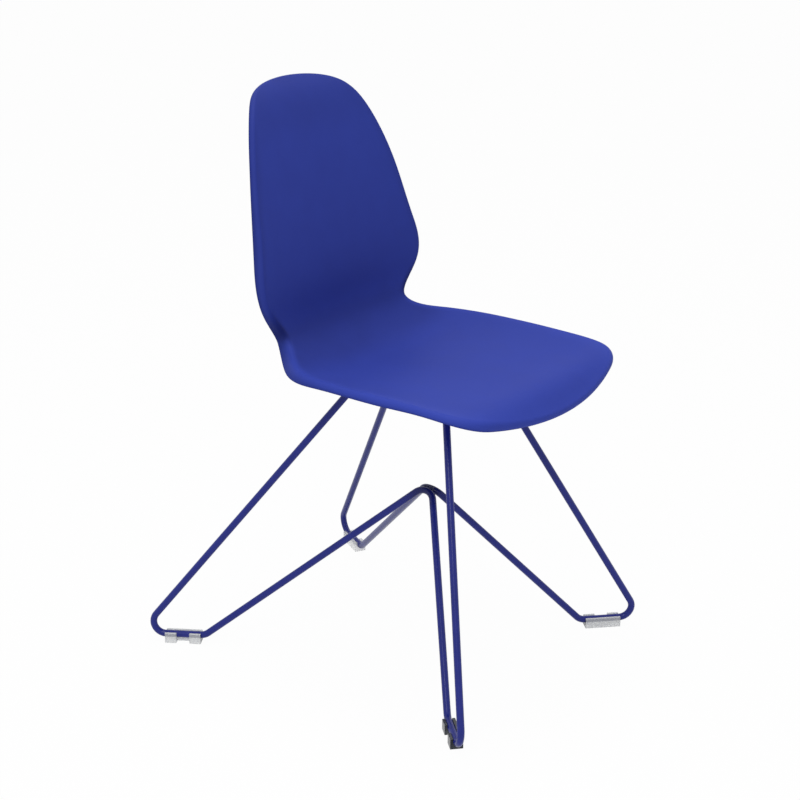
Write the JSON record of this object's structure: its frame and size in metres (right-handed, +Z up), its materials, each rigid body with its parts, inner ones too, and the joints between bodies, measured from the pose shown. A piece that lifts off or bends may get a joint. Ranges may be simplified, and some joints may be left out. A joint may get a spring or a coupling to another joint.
{
  "type": "shell chair",
  "caption": "Side chair with a one-piece moulded plastic seat and back, carried by two closed loops of bent steel rod that meet under the seat and stand on clip-on glides.",
  "frame": {"origin": "on the floor, under the middle of the chair's overall width and depth", "axes": "+X to the left of a person sitting in it, -Y to the front, +Z up"},
  "size_m": [0.4772, 0.5729, 0.8233],
  "materials": {
    "shell_plastic": "satin moulded polypropylene, blue",
    "frame_paint": "glossy powder coat, blue",
    "glide_plastic": "clear plastic, slightly milky",
    "screw_steel": "zinc plated",
    "washer_steel": "zinc plated",
    "insert_brass": "turned and knurled"
  },
  "bodies": {
    "root": {"shell": "shell_plastic", "threaded_inserts": "insert_brass", "screws": "screw_steel", "washers": "washer_steel", "strap_rear": "frame_paint", "strap_front": "frame_paint", "rod_left": "frame_paint", "rod_right": "frame_paint", "welds": "frame_paint", "glide_front_left": "glide_plastic", "glide_front_right": "glide_plastic", "glide_back_left": "glide_plastic", "glide_back_right": "glide_plastic"}
  },
  "joints": []
}
